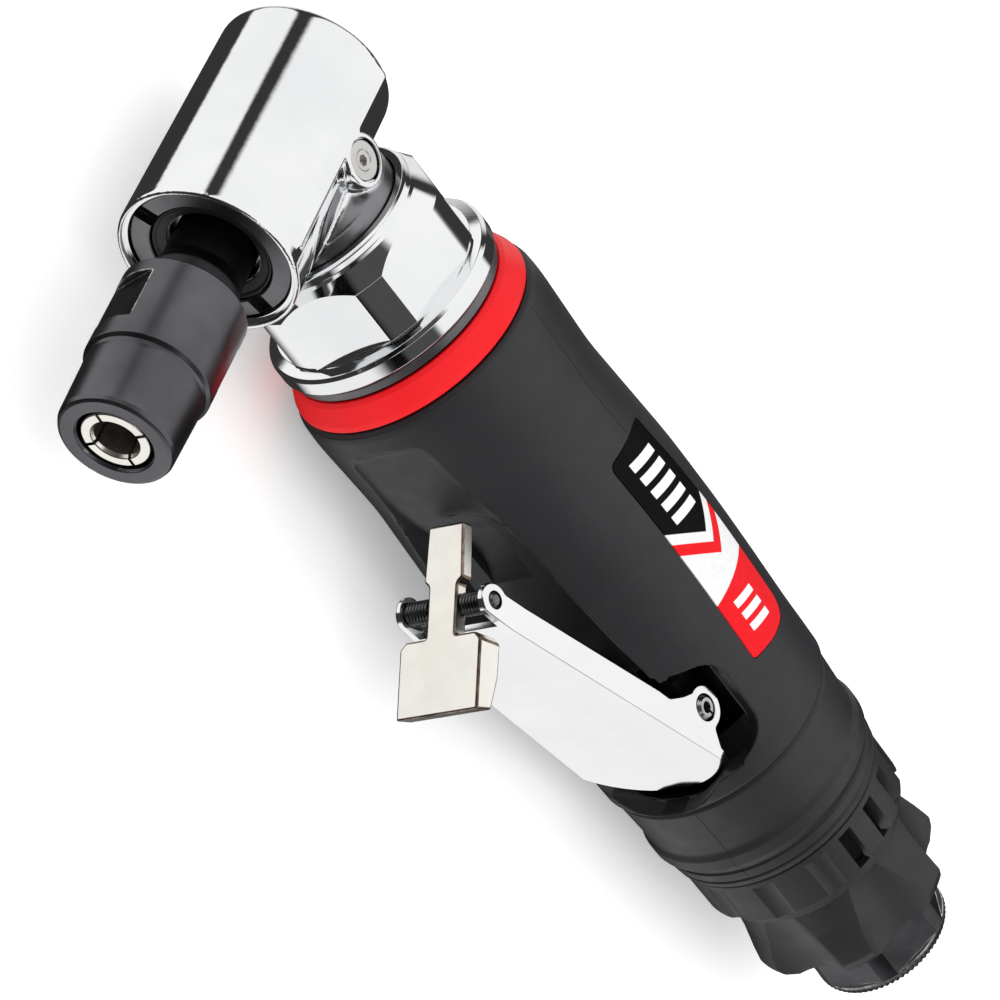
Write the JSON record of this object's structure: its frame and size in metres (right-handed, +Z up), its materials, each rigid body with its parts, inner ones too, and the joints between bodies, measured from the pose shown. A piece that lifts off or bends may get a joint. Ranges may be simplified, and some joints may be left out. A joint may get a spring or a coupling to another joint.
{
  "type": "die grinder",
  "caption": "Right-angle air die grinder: chrome angle head, black collet nut, rubber grip, throttle lever with lock-off catch, swivel exhaust ring and air regulator.",
  "frame": {"origin": "centre of the underside of the box round the tool as it lies on its side", "axes": "+X along the motor from the angle head to the air inlet, -Y the way the collet points, +Z up, out of the side that carries the decal"},
  "size_m": [0.1756, 0.0726, 0.0384],
  "materials": {
    "polished_chrome": "mirror polished chrome plate",
    "machined_steel": "machined and ground steel",
    "black_oxide": "black oxide on turned steel, bright where worn",
    "dark_cap": "dark phosphated steel",
    "housing_alloy": "black anodised, fine blasted",
    "plate_alloy": "machined",
    "grip_rubber": "matte moulded rubber with a fine grain",
    "rear_plastic": "matte moulded plastic with a fine grain",
    "red_plastic": "semi gloss",
    "nickel": "warm satin nickel plate",
    "spring_steel": "blackened wire",
    "vane_phenolic": "laminated phenolic",
    "seal_rubber": "smooth",
    "felt": "pressed felt, dark with oil",
    "decal": "printed film: black, white and red bands, no lettering"
  },
  "bodies": {
    "housing": {"angle_housing": "polished_chrome", "head_cap": "dark_cap", "grease_screw": "machined_steel", "upper_spindle_bearing": "machined_steel", "lower_spindle_bearing": "machined_steel", "clamp_nut": "polished_chrome", "pinion_bearing": "machined_steel", "clamp_spacer": "dark_cap", "red_trim_ring": "red_plastic", "motor_housing": "housing_alloy", "front_end_plate": "plate_alloy", "front_rotor_bearing": "machined_steel", "cylinder_liner": "machined_steel", "rear_end_plate": "plate_alloy", "rear_rotor_bearing": "machined_steel", "rubber_grip": "grip_rubber", "side_decal": "decal", "rear_collar": "rear_plastic", "exhaust_muffler": "felt", "inlet_bushing": "black_oxide", "inlet_screen": "machined_steel", "valve_bushing": "plate_alloy", "valve_oring": "seal_rubber", "valve_spring": "spring_steel", "lever_pin": "machined_steel"},
    "rotor": {"rotor": "machined_steel", "vane_1": "vane_phenolic", "vane_2": "vane_phenolic", "vane_3": "vane_phenolic", "vane_4": "vane_phenolic", "vane_5": "vane_phenolic", "bevel_pinion": "machined_steel", "drive_coupling": "machined_steel"},
    "spindle": {"spindle": "black_oxide", "spindle_bevel_gear": "machined_steel"},
    "collet": {"collet": "nickel"},
    "collet_nut": {"collet_nut": "black_oxide"},
    "lever": {"throttle_lever": "polished_chrome", "catch_pin": "black_oxide", "catch_spring_right": "spring_steel", "catch_spring_left": "spring_steel"},
    "catch": {"lock_off_catch": "nickel"},
    "valve": {"valve_stem": "machined_steel"},
    "deflector": {"exhaust_deflector": "rear_plastic"},
    "regulator": {"regulator_ring": "rear_plastic"}
  },
  "joints": [
    {"name": "rotor_spin", "type": "hinge", "parent": "housing", "child": "rotor", "pos_m": [-0.0154, 0.01702, 0.01925], "axis": [1, 0, 0], "continuous": true},
    {"name": "spindle_spin", "type": "hinge", "parent": "housing", "child": "spindle", "pos_m": [-0.0754, 0.00702, 0.01925], "axis": [0, -1, 0], "continuous": true},
    {"name": "collet_slide", "type": "slide", "parent": "spindle", "child": "collet", "axis": [0, -1, 0], "range_m": [0, 0.0015]},
    {"name": "collet_nut_turn", "type": "hinge", "parent": "collet", "child": "collet_nut", "pos_m": [-0.0754, -0.02297, 0.01925], "axis": [0, -1, 0], "range_deg": [0, 540.5]},
    {"name": "lever_press", "type": "hinge", "parent": "housing", "child": "lever", "pos_m": [0.0256, 0.00583, 0.01925], "axis": [0, 0, -1], "range_deg": [0, 8], "stiffness_Nm_per_rad": 0.4, "springref_deg": -17.19},
    {"name": "catch_fold", "type": "hinge", "parent": "lever", "child": "catch", "pos_m": [-0.0141, -0.00918, 0.01925], "axis": [0, 0, -1], "range_deg": [0, 80.1]},
    {"name": "valve_push", "type": "slide", "parent": "housing", "child": "valve", "axis": [0, 1, 0], "range_m": [0, 0.0019], "deforming": ["valve_spring"]},
    {"name": "deflector_turn", "type": "hinge", "parent": "housing", "child": "deflector", "pos_m": [0.0606, 0.01702, 0.01925], "axis": [1, 0, 0], "continuous": true},
    {"name": "regulator_turn", "type": "hinge", "parent": "housing", "child": "regulator", "pos_m": [0.0726, 0.01702, 0.01925], "axis": [1, 0, 0], "range_deg": [-60, 60]}
  ],
  "couplings": [
    {"joint": "spindle_spin", "follows": "rotor_spin", "ratio": 1},
    {"joint": "collet_nut_turn", "follows": "collet_slide", "rad_per_m": 6283.2},
    {"joint": "catch_fold", "follows": "lever_press", "ratio": 10},
    {"joint": "valve_push", "follows": "lever_press", "m_per_rad": 0.013}
  ]
}
